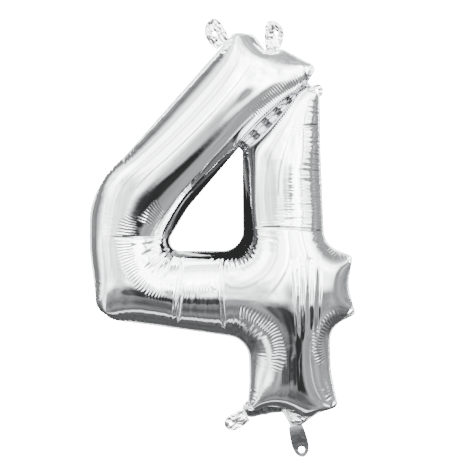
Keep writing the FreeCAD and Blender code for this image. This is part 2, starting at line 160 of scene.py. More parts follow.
class Outline:
    """A closed line of rounded corners, as one polyline per stretch between middles of bends."""

    ARC_STEPS = 8
    ROOM = 0.48

    def __init__(self, bends: list[Bend]) -> None:
        """Rounds each corner.

        Args:
            bends: The corners in order.
        """
        count = len(bends)
        arcs = [self._arc(bends[i - 1], bends[i], bends[(i + 1) % count]) for i in range(count)]
        middle = self.ARC_STEPS // 2
        self.stretches = [
            np.vstack([arcs[i][middle:], arcs[(i + 1) % count][: middle + 1]]) for i in range(count)
        ]

    def _arc(self, before: Bend, bend: Bend, after: Bend) -> np.ndarray:
        """The points of one bend's arc, its radius cut down where its runs are too short.

        Args:
            before: The corner before.
            bend: The corner to round.
            after: The corner after.

        Returns:
            The points, from the first run to the second.
        """
        corner = bend.point()
        back = before.point() - corner
        ahead = after.point() - corner
        room = self.ROOM * min(np.linalg.norm(back), np.linalg.norm(ahead))
        back = back / np.linalg.norm(back)
        ahead = ahead / np.linalg.norm(ahead)
        half = math.acos(float(np.clip(back @ ahead, -1, 1))) / 2
        reach = min(bend.radius / math.tan(half), room)
        shares = np.linspace(0, 1, self.ARC_STEPS + 1)[:, None]
        start = corner + back * reach
        end = corner + ahead * reach
        # A conic with the arc's own weight is the arc itself.
        first = (1 - shares) ** 2
        second = 2 * math.sin(half) * shares * (1 - shares)
        third = shares**2
        return (first * start + second * corner + third * end) / (first + second + third)

    @staticmethod
    def evenly(line: np.ndarray, count: int) -> np.ndarray:
        """Points at even distances along a line.

        Args:
            line: The line's points.
            count: The number of steps.

        Returns:
            The count + 1 points.
        """
        steps = np.linalg.norm(np.diff(line, axis=0), axis=1)
        along = np.concatenate([[0.0], np.cumsum(steps)])
        places = np.linspace(0, along[-1], count + 1)
        return np.stack([np.interp(places, along, line[:, axis]) for axis in range(2)], axis=1)


@dataclass(frozen=True)
class SeamLine:
    """The seam's points, as cut and as blown up, with the width of the weld outside each."""

    cut: np.ndarray
    blown: np.ndarray
    weld: np.ndarray
    pins: np.ndarray

    @staticmethod
    def sampled(corners: tuple[Corner, ...], spacing: float) -> "SeamLine":
        """The seam with points about a spacing apart on the cut film.

        Args:
            corners: The seam's corners, clockwise.
            spacing: The distance between points.

        Returns:
            The seam.
        """
        cut = Outline([corner.cut for corner in corners]).stretches
        blown = Outline([corner.blown for corner in corners]).stretches
        points = [[], [], []]
        pins = []
        for index, (first, second) in enumerate(zip(cut, blown)):
            if corners[index].pinned:
                pins.append(sum(len(part) for part in points[0]))
            length = float(np.linalg.norm(np.diff(first, axis=0), axis=1).sum())
            count = max(1, round(length / spacing))
            widths = (corners[index].weld, corners[(index + 1) % len(corners)].weld)
            points[0].append(Outline.evenly(first, count)[:-1])
            points[1].append(Outline.evenly(second, count)[:-1])
            points[2].append(np.linspace(*widths, count + 1)[:-1])
        lines = (np.vstack(points[0]), np.vstack(points[1]), np.concatenate(points[2]))
        return SeamLine(*lines, np.array(pins))

    def outward(self) -> np.ndarray:
        """The direction away from the film at each blown point.

        Returns:
            One direction of length 1 to each point.
        """
        ahead = np.roll(self.blown, -1, axis=0) - np.roll(self.blown, 1, axis=0)
        ahead /= np.linalg.norm(ahead, axis=1)[:, None]
        return np.stack([-ahead[:, 1], ahead[:, 0]], axis=1)


# ---- Film ----
def twice_area(points: np.ndarray, faces: np.ndarray) -> np.ndarray:
    """Twice the signed area of each flat triangle.

    Args:
        points: The flat points.
        faces: The triangles.

    Returns:
        One number to each triangle, above 0 where it runs anticlockwise.
    """
    first = points[faces[:, 1]] - points[faces[:, 0]]
    second = points[faces[:, 2]] - points[faces[:, 0]]
    return first[:, 0] * second[:, 1] - first[:, 1] * second[:, 0]


class Cut:
    """The flat film: a triangulated sheet inside the seam."""

    ROW = math.sqrt(3) / 2
    CLEAR = 0.6
    SLIVER = 0.04
    MERGE = 1e-7
    TINY = 1e-30

    def __init__(self, seam: SeamLine, spacing: float) -> None:
        """Fills the cut outline with an even net of triangles.

        Args:
            seam: The seam.
            spacing: The length of the triangles' edges.
        """
        edge = seam.cut
        low, high = edge.min(axis=0), edge.max(axis=0)
        rows = np.arange(int((high[1] - low[1]) / (spacing * self.ROW)) + 1)
        columns = np.arange(int((high[0] - low[0]) / spacing) + 2)
        row, column = np.meshgrid(rows, columns, indexing="ij")
        x = low[0] + (column + 0.5 * (row % 2)) * spacing
        z = low[1] + row * spacing * self.ROW
        net = np.stack([x, z], axis=-1).reshape(-1, 2)
        net = net[self._inside(net, edge)]
        net = net[self._distance(net, edge) > self.CLEAR * spacing]
        count = len(edge)
        border = [(i, (i + 1) % count) for i in range(count)]
        points = [Vector(point) for point in np.vstack([edge, net])]
        made = delaunay_2d_cdt(points, border, [], 0, self.MERGE)
        self.points = np.array([tuple(point) for point in made[0]])
        faces = np.array([tuple(face) for face in made[2]], dtype=int)
        faces = faces[self._inside(self.points[faces].mean(axis=1), edge)]
        turn = twice_area(self.points, faces)
        faces[turn < 0] = faces[turn < 0][:, ::-1]
        faces = faces[np.abs(turn) > self.SLIVER * spacing * spacing]
        used, self.faces = np.unique(faces, return_inverse=True)
        self.faces = self.faces.reshape(-1, 3)
        self.points = self.points[used]
        self.on_seam = used
        self.area = float(np.abs(turn).sum() / 2)

    @classmethod
    def _inside(cls, points: np.ndarray, ring: np.ndarray) -> np.ndarray:
        """Which points lie inside a closed ring.

        Args:
            points: The points.
            ring: The ring's points in order.

        Returns:
            True for each point that lies inside.
        """
        found = np.zeros(len(points), dtype=bool)
        for start, end in zip(np.roll(ring, 1, axis=0), ring):
            crosses = (start[1] > points[:, 1]) != (end[1] > points[:, 1])
            reach = (end[0] - start[0]) * (points[:, 1] - start[1]) / (end[1] - start[1] + cls.TINY)
            found ^= crosses & (points[:, 0] < reach + start[0])
        return found

    @classmethod
    def _distance(cls, points: np.ndarray, ring: np.ndarray) -> np.ndarray:
        """The distance of each point from a closed ring.

        Args:
            points: The points.
            ring: The ring's points in order.

        Returns:
            The distances.
        """
        best = np.full(len(points), np.inf)
        for start, end in zip(ring, np.roll(ring, -1, axis=0)):
            run = end - start
            share = np.clip((points - start) @ run / (run @ run + cls.TINY), 0, 1)
            best = np.minimum(best, np.linalg.norm(points - start - share[:, None] * run, axis=1))
        return best


class Rail:
    """The line that the seam slides along, drawn from its cut to its blown shape."""

    WINDOW = np.arange(-6, 7)

    def __init__(self, seam: SeamLine) -> None:
        """Takes a closely sampled seam."""
        self.seam = seam
        self.draw(0.0)

    def draw(self, share: float) -> None:
        """Moves the line this share of the way to its blown shape.

        Args:
            share: From 0, as cut, to 1, as blown.
        """
        self.line = self.seam.cut + share * (self.seam.blown - self.seam.cut)
        ahead = np.roll(self.line, -1, axis=0) - np.roll(self.line, 1, axis=0)
        length = np.linalg.norm(ahead, axis=1)
        self.room = length / 4
        self.ahead = ahead / length[:, None]

    def nearest(self, points: np.ndarray) -> np.ndarray:
        """The index on the line nearest to each point."""
        return np.array([int(((self.line - point) ** 2).sum(axis=1).argmin()) for point in points])

    def seat(self, points: np.ndarray, index: np.ndarray) -> tuple[np.ndarray, np.ndarray]:
        """Brings points back onto the line.

        Args:
            points: The points.
            index: Where on the line each was.

        Returns:
            The seated points and their new indices.
        """
        options = (index[:, None] + self.WINDOW) % len(self.line)
        gaps = ((self.line[options] - points[:, None]) ** 2).sum(axis=2)
        index = options[np.arange(len(points)), gaps.argmin(axis=1)]
        base = self.line[index]
        along = ((points - base) * self.ahead[index]).sum(axis=1)
        along = np.clip(along, -self.room[index], self.room[index])
        return base + along[:, None] * self.ahead[index], index


@dataclass(frozen=True)
class Blow:
    """One stage of blowing up: how long it runs and how hard the film resists."""

    steps: int
    push_back: float
    stiffness: float
    drawn: float = 0.0


class Film:
    """A film that nearly keeps its lengths, pushed out by pressure and held along its seam."""

    TIME_STEP = 0.05
    DRAG = 0.98
    RIM_PUSH = 0.35
    LEAST_SHARE = 0.5
    SHORTEST = 1e-12
    ACROSS = [0, 2]

    def __init__(
        self, cut: np.ndarray, faces: np.ndarray, place: np.ndarray, pins: np.ndarray, seed: int
    ) -> None:
        """Takes the film's flat points, triangles and present places.

        Args:
            cut: The flat points.
            faces: The triangles.
            place: Where the points are now.
            pins: The points of the seam that can't slide.
            seed: The seed of the order in which lengths are restored.
        """
        self.cut = cut
        self.faces = faces
        self.place = place
        self.pins = pins
        self.speed = np.zeros_like(place)
        self.random = np.random.default_rng(seed)
        self.edges, rim, flaps = self._edges(faces)
        self.rim = np.unique(rim)
        self.held = np.zeros(len(cut), dtype=bool)
        self.held[pins] = True
        self.lengths = self._batches(self.edges)
        self.rim_lengths = self._batches(rim)
        self.flaps = self._batches(flaps)
        area = np.abs(twice_area(cut, faces)) / 2
        area = np.bincount(faces.ravel(), np.repeat(area / 3, 3), len(cut))
        self.area = np.maximum(area, self.LEAST_SHARE * np.median(area))

    @staticmethod
    def _edges(faces: np.ndarray) -> tuple[np.ndarray, np.ndarray, np.ndarray]:
        """Each edge once, the edges of the rim, and the far corners of each two triangles that meet.

        Args:
            faces: The triangles.

        Returns:
            The edges, the edges of the rim and the pairs of far corners.
        """
        pairs = np.concatenate([faces[:, [0, 1]], faces[:, [1, 2]], faces[:, [2, 0]]])
        pairs = np.sort(pairs, axis=1)
        far = np.concatenate([faces[:, 2], faces[:, 0], faces[:, 1]])
        order = np.lexsort((pairs[:, 1], pairs[:, 0]))
        pairs = pairs[order]
        far = far[order]
        new = np.concatenate([[True], np.any(pairs[1:] != pairs[:-1], axis=1)])
        starts = np.flatnonzero(new)
        uses = np.diff(np.append(starts, len(pairs)))
        shared = starts[uses == 2]
        return pairs[starts], pairs[starts[uses == 1]], np.stack([far[shared], far[shared + 1]], axis=1)

    def _batches(self, pairs: np.ndarray) -> list[tuple[np.ndarray, ...]]:
        """Sorts pairs of points into batches that share no point, with their flat lengths.

        Args:
            pairs: The pairs of points.

        Returns:
            For each batch its first and second points, their lengths and how much each end gives way.
        """
        free = 1.0 - self.held
        pairs = pairs[free[pairs].sum(axis=1) > 0]
        lengths = np.linalg.norm(self.cut[pairs[:, 0]] - self.cut[pairs[:, 1]], axis=1)
        left = np.arange(len(pairs))
        batches = []
        while len(left):
            rank = self.random.permutation(len(left)) + 1
            best = np.zeros(len(self.cut), dtype=np.int64)
            for end in (0, 1):
                np.maximum.at(best, pairs[left, end], rank)
            chosen = (best[pairs[left, 0]] == rank) & (best[pairs[left, 1]] == rank)
            batch = left[chosen]
            first, second = pairs[batch, 0], pairs[batch, 1]
            weight = free[first] + free[second]
            batches.append((first, second, lengths[batch], free[first] / weight, free[second] / weight))
            left = left[~chosen]
        return batches

    def _restore(self, batches: list[tuple[np.ndarray, ...]], pull: float, push: float) -> None:
        """Brings distances back towards their flat lengths, by pull where long and push where short.

        Args:
            batches: The batches of pairs.
            pull: The share taken back of what is too long.
            push: The share given back of what is too short.
        """
        place = self.place
        for first, second, length, share_first, share_second in batches:
            start = place[first]
            end = place[second]
            gap = end - start
            now = np.sqrt((gap * gap).sum(axis=1)) + self.SHORTEST
            strength = (now - length) / now * np.where(now > length, pull, push)
            gap *= strength[:, None]
            place[first] = start + gap * share_first[:, None]
            place[second] = end - gap * share_second[:, None]

    def _pressure(self) -> np.ndarray:
        """The acceleration that the air gives each point.

        Returns:
            One acceleration to each point.
        """
        corner = self.place[self.faces]
        normal = np.cross(corner[:, 1] - corner[:, 0], corner[:, 2] - corner[:, 0]) / 6
        force = [
            np.bincount(self.faces.ravel(), np.repeat(normal[:, axis], 3), len(self.cut))
            for axis in range(3)
        ]
        return np.stack(force, axis=1) / self.area[:, None]

    def blow(self, stage: Blow, rail: Rail) -> None:
        """Runs one stage.

        Args:
            stage: The stage.
            rail: The line of the seam.
        """
        index = rail.nearest(self.place[self.rim][:, self.ACROSS])
        pinned = rail.nearest(self.place[self.pins][:, self.ACROSS])
        for step in range(stage.steps):
            before = self.place.copy()
            self.speed += self.TIME_STEP * self._pressure()
            self.place = self.place + self.TIME_STEP * self.speed
            share = min(1.0, (step + 1) / (stage.drawn * stage.steps)) if stage.drawn else 1.0
            rail.draw(share * share * (3 - 2 * share))
            for push in (False, True):
                seated, index = rail.seat(self.place[self.rim][:, self.ACROSS], index)
                self.place[self.rim] = np.insert(seated, 1, 0.0, axis=1)
                self.place[self.pins] = np.insert(rail.line[pinned], 1, 0.0, axis=1)
                if push:
                    break
                self._restore(self.rim_lengths, 1.0, self.RIM_PUSH)
                self._restore(self.lengths, 1.0, stage.push_back)
                self._restore(self.flaps, stage.stiffness, stage.stiffness)
            self.place[:, 1] = np.minimum(self.place[:, 1], 0)
            self.speed = (self.place - before) / self.TIME_STEP * self.DRAG

    def finer(self) -> "Film":
        """The same film with each triangle split into four.

        Returns:
            The new film, at rest.
        """
        count = len(self.cut)
        lookup = self.edges[:, 0].astype(np.int64) * count + self.edges[:, 1]

        def middle(first: np.ndarray, second: np.ndarray) -> np.ndarray:
            """The new point halfway along each edge."""
            low = np.minimum(first, second).astype(np.int64)
            return count + np.searchsorted(lookup, low * count + np.maximum(first, second))

        a, b, c = self.faces.T
        ab, bc, ca = middle(a, b), middle(b, c), middle(c, a)
        corners = ((a, ab, ca), (b, bc, ab), (c, ca, bc), (ab, bc, ca))
        faces = np.concatenate([np.stack(corner, axis=1) for corner in corners])
        ends = self.edges
        cut = np.vstack([self.cut, (self.cut[ends[:, 0]] + self.cut[ends[:, 1]]) / 2])
        place = np.vstack([self.place, (self.place[ends[:, 0]] + self.place[ends[:, 1]]) / 2])
        return Film(cut, faces, place, self.pins, int(self.random.integers(1 << 30)))


class Inflation:
    """Blows up one film from its cut to its wrinkled shape."""

    SPACING = 4.6
    RAIL_SPACING = 0.5
    LATER_UNEVEN = 0.2
    STAGES = (Blow(900, 0.02, 0.05, 0.6), Blow(300, 0.03, 0.02), Blow(400, 0.9, 0.004))
    UNEVEN = 0.3
    SEED = 4

    def __init__(self, seam_corners: tuple[Corner, ...]) -> None:
        """Runs every stage.

        Args:
            seam_corners: The seam's corners.
        """
        seam = SeamLine.sampled(seam_corners, self.SPACING)
        cut = Cut(seam, self.SPACING)
        self.area = cut.area
        self.size = cut.points.max(axis=0) - cut.points.min(axis=0)
        random = np.random.default_rng(self.SEED)
        count = len(cut.points)
        lift = -self.UNEVEN * random.random(count)
        place = np.stack([cut.points[:, 0], lift, cut.points[:, 1]], axis=1)
        pins = np.flatnonzero(np.isin(cut.on_seam, seam.pins))
        film = Film(cut.points, cut.faces, place, pins, self.SEED)
        rail = Rail(SeamLine.sampled(seam_corners, self.RAIL_SPACING))
        for number, stage in enumerate(self.STAGES):
            if number:
                film = film.finer()
                film.place[:, 1] -= self.UNEVEN * self.LATER_UNEVEN * random.random(len(film.place))
            film.blow(stage, rail)
            LOG.info("inflation stage %d: %d points", number, len(film.place))
            if number == 1 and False:
                break
        self.film = film


# ---- Shader maths ----
class Value:
    """A number that varies over a surface, as the output socket of a node."""

    def __init__(self, tree: bpy.types.NodeTree, socket: bpy.types.NodeSocket) -> None:
        """Wraps a socket of a tree."""
        self.tree = tree
        self.socket = socket

    def _math(self, operation: str, *values: "Value | float") -> "Value":
        """One Math node on values and numbers.

        Args:
            operation: The node's operation.
            *values: What it works on, in order.

        Returns:
            The result.
        """
        node = self.tree.nodes.new("ShaderNodeMath")
        node.operation = operation
        for place, value in enumerate(values):
            if isinstance(value, Value):
                self.tree.links.new(value.socket, node.inputs[place])
            else:
                node.inputs[place].default_value = value
        return Value(self.tree, node.outputs[0])

    def __add__(self, other: "Value | float") -> "Value":
        """Sum."""
        return self._math("ADD", self, other)

    def __radd__(self, other: float) -> "Value":
        """A number and this."""
        return self._math("ADD", other, self)

    def __sub__(self, other: "Value | float") -> "Value":
        """Difference."""
        return self._math("SUBTRACT", self, other)

    def __rsub__(self, other: float) -> "Value":
        """A number less this."""
        return self._math("SUBTRACT", other, self)

    def __mul__(self, other: "Value | float") -> "Value":
        """Product."""
        return self._math("MULTIPLY", self, other)

    def __rmul__(self, other: float) -> "Value":
        """A number times this."""
        return self._math("MULTIPLY", other, self)

    def root(self) -> "Value":
        """Square root."""
        return self._math("SQRT", self)

    def towards(self, other: "Value | float", share: "Value") -> "Value":
        """This moved by a share of the way to another number."""
        return self + (other - self) * share

    def sine(self) -> "Value":
        """Sine of this in radians."""
        return self._math("SINE", self)

    def angle(self, across: "Value") -> "Value":
        """The angle of the point this high and so far across."""
        return self._math("ARCTAN2", self, across)

    def size(self) -> "Value":
        """This without its sign."""
        return self._math("ABSOLUTE", self)

    def step(self, low: float, high: float) -> "Value":
        """A smooth rise from 0 at low to 1 at high.

        Args:
            low: Where it starts.
            high: Where it ends.

        Returns:
            The result.
        """
        node = self.tree.nodes.new("ShaderNodeMapRange")
        node.interpolation_type = "SMOOTHSTEP"
        node.inputs["From Min"].default_value = low
        node.inputs["From Max"].default_value = high
        self.tree.links.new(self.socket, node.inputs["Value"])
        return Value(self.tree, node.outputs["Result"])


def new_material(name: str) -> tuple[bpy.types.Material, "Shading"]:
    """An empty node material and its tree.

    Args:
        name: The material's name.

    Returns:
        The material and the tree.
    """
    material = bpy.data.materials.new(name)
    material.use_nodes = True
    return material, Shading(material.node_tree)


class Shading:
    """A node tree with one method that makes any node."""

    def __init__(self, tree: bpy.types.NodeTree) -> None:
        """Clears the tree."""
        self.tree = tree
        tree.nodes.clear()

    def node(self, kind: str, settings: dict | None = None, **inputs: object) -> bpy.types.Node:
        """Makes a node.

        Args:
            kind: The node's type.
            settings: The node's own settings, set first.
            **inputs: Numbers, colours, values or sockets for its inputs, named with underscores.

        Returns:
            The node.
        """
        made = self.tree.nodes.new(kind)
        for name, setting in (settings or {}).items():
            setattr(made, name, setting)
        for name, given in inputs.items():
            socket = made.inputs[name.replace("_", " ")]
            if isinstance(given, Value):
                self.tree.links.new(given.socket, socket)
            elif isinstance(given, bpy.types.NodeSocket):
                self.tree.links.new(given, socket)
            else:
                socket.default_value = given
        return made

    def value(self, node: bpy.types.Node, output: str | int = 0) -> Value:
        """One output of a node as a value."""
        return Value(self.tree, node.outputs[output])

    def cloud(self, place: bpy.types.NodeSocket, **settings: float) -> Value:
        """Smooth noise from 0 to 1."""
        return self.value(self.node("ShaderNodeTexNoise", Vector=place, **settings), "Fac")

    def surface(self, kind: str, **inputs: object) -> None:
        """Makes the shader of a surface and joins it to the material's output."""
        self.node("ShaderNodeOutputMaterial", Surface=self.node(kind, **inputs).outputs[0])


@dataclass(frozen=True)
class Pleats:
    """A ribbon of fine pleats along an arc, each pleat pointing at the arc's centre; millimetres."""

    name: str
    x: float
    z: float
    radius: float
    first: float
    last: float
    half_width: float
    pitch: float
    depth: float
    unruly: float = 1.0

    EDGE_STRAY = 0.8
    PHASE_STRAY = 9.0
    FADE_ACROSS = 0.35
    FADE_ALONG = 0.75

    def height(self, x: Value, z: Value, stray: Value) -> Value:
        """The pleats' height over the film.

        Args:
            x: Across the balloon.
            z: Up the balloon.
            stray: A small uneven number that keeps the pleats from being alike.

        Returns:
            The height.
        """
        middle = math.radians((self.first + self.last) / 2)
        spread = math.radians(abs(self.last - self.first) / 2)
        from_x = x - self.x
        from_z = z - self.z
        ahead = from_x * math.cos(middle) + from_z * math.sin(middle)
        over = from_z * math.cos(middle) - from_x * math.sin(middle)
        angle = over.angle(ahead)
        reach = (ahead * ahead + over * over).root()
        aside = (reach - self.radius + stray * (self.EDGE_STRAY * self.unruly * self.half_width)).size()
        inside = 1.0 - aside.step(self.FADE_ACROSS * self.half_width, self.half_width)
        between = 1.0 - angle.size().step(self.FADE_ALONG * spread, spread)
        turns = 2 * math.pi * self.radius / self.pitch
        wave = (angle * turns + stray * (self.PHASE_STRAY * self.unruly)).sine()
        return wave * inside * between * self.depth


@dataclass(frozen=True)
class FoilFinish:
    """Metallised film: a mirror with a faint uneven gloss, fine crinkles and ribbons of pleats."""

    name: str
    colour: tuple[float, float, float]
    roughness: float
    uneven: float
    grain: float
    crinkle: float
    crinkle_scale: float
    pleats: tuple[Pleats, ...] = ()

    STRAY_SCALE = 70.0
    DULLEST = 0.94

    def material(self) -> bpy.types.Material:
        """Builds the finish's material.

        Returns:
            The material.
        """
        material, shading = new_material(self.name)
        place = shading.node("ShaderNodeTexCoord").outputs["Object"]
        cloud = shading.cloud(place, Scale=self.grain, Detail=4.0)
        roughness = cloud * self.uneven + (self.roughness - 0.5 * self.uneven)
        height = shading.cloud(place, Scale=self.crinkle_scale, Detail=3.0) * self.crinkle
        if self.pleats:
            stray = shading.cloud(place, Scale=self.STRAY_SCALE, Detail=1.0) - 0.5
            split = shading.node("ShaderNodeSeparateXYZ", Vector=place)
            x = shading.value(split, "X") * (1 / MM)
            z = shading.value(split, "Z") * (1 / MM)
            for ribbon in self.pleats:
                height = height + ribbon.height(x, z, stray)
        bump = shading.node("ShaderNodeBump", Height=height, Distance=MM)
        colour = shading.node("ShaderNodeMix", {"data_type": "RGBA"}, Factor=cloud)
        colour.inputs[6].default_value = (*(self.DULLEST * channel for channel in self.colour), 1.0)
        colour.inputs[7].default_value = (*self.colour, 1.0)
        shading.surface(
            "ShaderNodeBsdfPrincipled",
            Base_Color=colour.outputs[2],
            Metallic=1.0,
            Roughness=roughness,
            Normal=bump.outputs["Normal"],
        )
        return material


@dataclass(frozen=True)
class FilmFinish:
    """Thin clear film of the valve."""

    name: str
    colour: tuple[float, float, float]

    GRAIN = 180.0
    UNEVEN = 0.2
    LEAST_ROUGHNESS = 0.15
    LEAST_ALPHA = 0.35

    def material(self) -> bpy.types.Material:
        """Builds the finish's material.

        Returns:
            The material.
        """
        material, shading = new_material(self.name)
        place = shading.node("ShaderNodeTexCoord").outputs["Object"]
        cloud = shading.cloud(place, Scale=self.GRAIN, Detail=3.0)
        shading.surface(
            "ShaderNodeBsdfPrincipled",
            Base_Color=(*self.colour, 1.0),
            Roughness=cloud * self.UNEVEN + self.LEAST_ROUGHNESS,
            Alpha=cloud * self.UNEVEN + self.LEAST_ALPHA,
        )
        return material


PLEATS = (
    Pleats("elbow", -31.0, -188.0, 51.0, 152.0, 262.0, 10.0, 2.7, 0.11),
    Pleats("elbow_inner", -31.0, -188.0, 35.0, 118.0, 158.0, 9.0, 2.6, 0.12),
    Pleats("crossbar", -24.0, -190.0, 46.0, 255.0, 300.0, 7.0, 2.6, 0.07),
    Pleats("window_right", 14.0, -186.0, 24.0, 215.0, 345.0, 6.0, 4.4, 0.1),
    Pleats("crossbar_to_leg", 21.6, -290.8, 37.5, -28.0, 98.0, 7.5, 2.9, 0.16),
    Pleats("below_stub", 124.0, -285.0, 31.0, 105.0, 218.0, 6.5, 2.9, 0.14),
    Pleats("above_stub", 128.0, -178.0, 30.0, 165.0, 238.0, 6.0, 2.8, 0.12),
    Pleats("stem_side", 392.0, -145.0, 300.0, 171.4, 188.6, 4.0, 2.6, 0.09),
    Pleats("stem_middle", 377.0, -142.0, 300.0, 175.5, 184.5, 3.4, 2.4, 0.04),
    Pleats("stem_low", 359.0, -166.0, 300.0, 176.0, 184.0, 4.0, 2.6, 0.04),
    Pleats("above_web", 242.0, -295.7, 302.5, 122.0, 133.6, 8.0, 2.4, 0.17),
    Pleats("below_web", 262.0, -322.0, 300.0, 127.0, 132.5, 3.5, 2.4, 0.08),
    Pleats("junction", 83.8, -540.0, 300.0, 87.2, 92.8, 42.0, 8.6, 0.75, 0.16),
    Pleats("leg_folds", 69.5, -610.0, 300.0, 88.2, 91.8, 28.0, 8.0, 0.12, 0.3),
)


class Finish(Enum):
    """The finishes of the balloon."""

    MIRROR = FoilFinish("mirror_foil", (0.93, 0.935, 0.945), 0.05, 0.04, 22.0, 0.01, 700.0, PLEATS)
    CRINKLED = FoilFinish("crinkled_foil", (0.93, 0.93, 0.935), 0.12, 0.12, 260.0, 0.1, 190.0)
    # Web strip foil: its dark base colour is painted shade, standing in for the shaded valley between the
    # diagonal and the stem.
    GATHERED = FoilFinish("web_foil_painted_shade", (0.36, 0.365, 0.37), 0.1, 0.08, 260.0, 0.05, 220.0)
    WELDED = FoilFinish("welded_foil", (0.8, 0.81, 0.82), 0.12, 0.1, 400.0, 0.1, 700.0)
    TAIL = FoilFinish("tail_foil", (0.27, 0.275, 0.28), 0.32, 0.1, 160.0, 0.02, 300.0)
    VALVE = FilmFinish("valve_film", (0.8, 0.8, 0.78))

    def applied(self, piece: bpy.types.Object) -> None:
        """Gives a piece this finish, and nothing else.

        Args:
            piece: The piece.
        """
        material = bpy.data.materials.get(self.value.name) or self.value.material()
        piece.data.materials.clear()
        piece.data.materials.append(material)


# ---- Pieces ----
def sheet_object(name: str, points: np.ndarray, faces: np.ndarray) -> bpy.types.Object:
    """Makes a smooth mesh object from points in millimetres, and selects it.

    Args:
        name: The piece's name.
        points: Its points.
        faces: Its triangles or quads.

    Returns:
        The object, linked to the scene.
    """
    mesh = bpy.data.meshes.new(name)
    mesh.from_pydata((points * MM).tolist(), [], faces.tolist())
    mesh.validate()
    piece = bpy.data.objects.new(name, mesh)
    bpy.context.scene.collection.objects.link(piece)
    select_only(piece)
    bpy.ops.object.shade_smooth()
    return piece


def ripple(x: float, y: float, scale: tuple[float, float], seed: float) -> float:
    """Smooth noise at a place, the same each run.

    Args:
        x: The place's first measure, in millimetres.
        y: Its second.
        scale: The noise's fineness along each.
        seed: Which noise.

    Returns:
        A number about between -1 and 1.
    """
    return noise.noise(Vector((x * scale[0], y * scale[1], seed)))


def select_only(piece: bpy.types.Object) -> None:
    """Selects one object and makes it active.

    Args:
        piece: The object.
    """
    for other in bpy.context.view_layer.objects:
        other.select_set(False)
    piece.select_set(True)
    bpy.context.view_layer.objects.active = piece


def thicken(piece: bpy.types.Object, ply: float) -> None:
    """Selects a sheet and gives it its thickness in millimetres, half to each side.

    Args:
        piece: The sheet.
        ply: The thickness.
    """
    select_only(piece)
    modifier = piece.modifiers.new("ply", "SOLIDIFY")
    modifier.thickness = ply * MM
    modifier.offset = 0.0
    bpy.ops.object.modifier_apply(modifier=modifier.name)


class Side(Enum):
    """The two panels: the frame's -Y side and its mirror."""

    FRONT = 1.0
    BACK = -1.0


@dataclass
class Panel:
    """One inflated film."""

    name: str
    node: str
    side: Side
    inflation: Inflation

    def build(self) -> bpy.types.Object:
        """Returns:
            The film.
        """
        film = self.inflation.film
        points = film.place * np.array([1.0, self.side.value, 1.0])
        faces = film.faces if self.side is Side.FRONT else film.faces[:, ::-1]
        piece = sheet_object(self.name, points, faces)
        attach(piece, BALLOON)
        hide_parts(self.node)
        self.inflation.area * MM * MM
        Finish.MIRROR.applied(piece)
        return piece


@dataclass
class Weld:
    """The welded rim outside the seam, puckered by the film that it gathers."""

    name: str
    corners: tuple[Corner, ...]
    spacing: float = 1.0
    rows: int = 4
    pucker: float = 0.35
    tilt: float = 0.32
    narrow: float = 2.5
    ply: float = 0.12
    inset: float = 0.5
    wave_scale: tuple[float, float] = (0.45, 0.45)
    fine_scale: tuple[float, float] = (1.1, 1.1)
    fine_share: float = 0.6
    least_width: float = 0.15
    least_lift: float = 0.4
    full_lift: float = 4.0

    def build(self) -> bpy.types.Object:
        """Makes the rim's mesh.

        Returns:
            The rim.
        """
        seam = SeamLine.sampled(self.corners, self.spacing)
        out = seam.outward()
        count = len(seam.blown)
        points = []
        for row in range(self.rows + 1):
            share = row / self.rows
            reach = seam.weld * share - self.inset * (1 - share) * (seam.weld > 0)
            flat = seam.blown + out * reach[:, None]
            for index in range(count):
                x, z = flat[index]
                wave = ripple(x, z, self.wave_scale, 3.0)
                wave += self.fine_share * ripple(x, z, self.fine_scale, 9.0)
                freed = min(1.0, self.least_lift + seam.weld[index] / self.full_lift)
                lift = self.pucker * wave * share * freed
                lift += self.tilt * max(0.0, seam.weld[index] - self.narrow) * share
                points.append((x, lift, z))
        faces = []
        for row in range(self.rows):
            for index in range(count):
                after = (index + 1) % count
                if seam.weld[index] + seam.weld[after] < self.least_width:
                    continue
                base, upper = row * count, (row + 1) * count
                faces.append((base + index, upper + index, upper + after, base + after))
        piece = sheet_object(self.name, np.array(points), np.array(faces))
        bpy.ops.object.mode_set(mode="EDIT")
        bpy.ops.mesh.select_all(action="SELECT")
        bpy.ops.mesh.delete_loose()
        bpy.ops.object.mode_set(mode="OBJECT")
        thicken(piece, self.ply)
        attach(piece, BALLOON)
        Finish.WELDED.applied(piece)
        return piece


